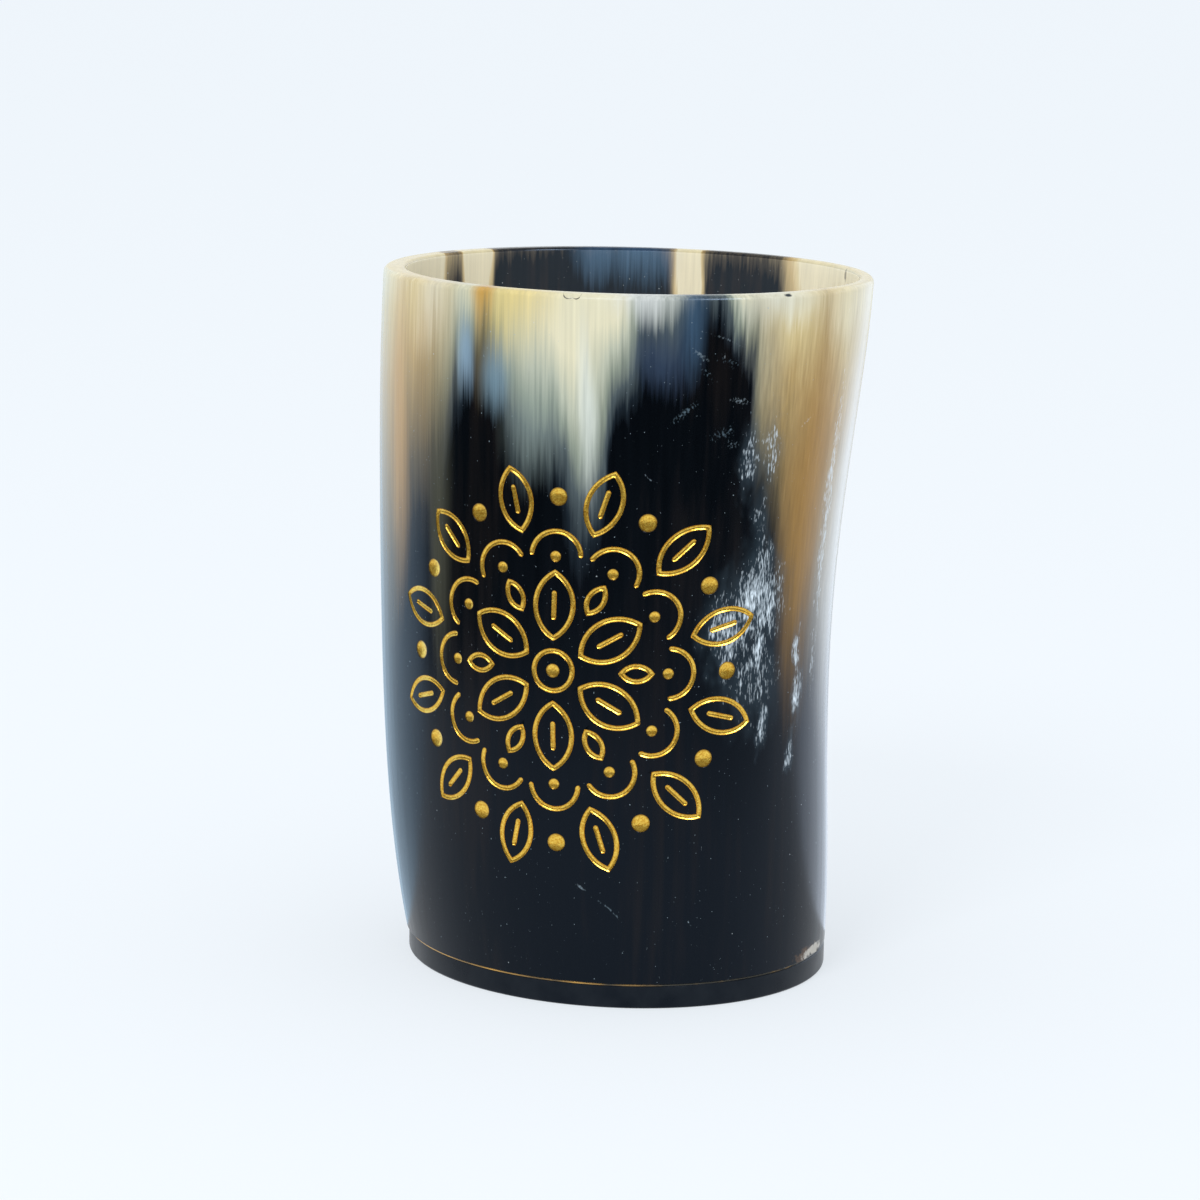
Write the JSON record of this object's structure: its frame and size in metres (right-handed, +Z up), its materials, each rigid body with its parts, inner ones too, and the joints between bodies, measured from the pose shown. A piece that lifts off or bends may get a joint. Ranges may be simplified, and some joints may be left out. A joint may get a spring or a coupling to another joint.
{
  "type": "horn drinking cup",
  "caption": "Oval drinking cup cut from cattle horn, with a glued horn base, a thin rounded rim and an engraved front medallion filled with gold.",
  "frame": {"origin": "middle of the flat underside of the base", "axes": "+Z up through the open rim; the engraved front faces -Y; +X is to the right when the front is seen"},
  "size_m": [0.07, 0.0696, 0.1],
  "materials": {
    "horn": "polished cattle horn, near black at the foot and cream to tan at the rim",
    "base_horn": "polished dark cattle horn",
    "glue": "set amber glue",
    "gold": "gold filling in engraved lines"
  },
  "bodies": {
    "root": {"horn_wall": "horn", "horn_base": "base_horn", "base_glue": "glue", "gold_eye": "gold", "gold_petals": "gold", "gold_petal_veins": "gold", "gold_seeds": "gold", "gold_arches": "gold", "gold_arch_dots": "gold", "gold_leaves": "gold", "gold_leaf_veins": "gold", "gold_pearls": "gold"}
  },
  "joints": []
}
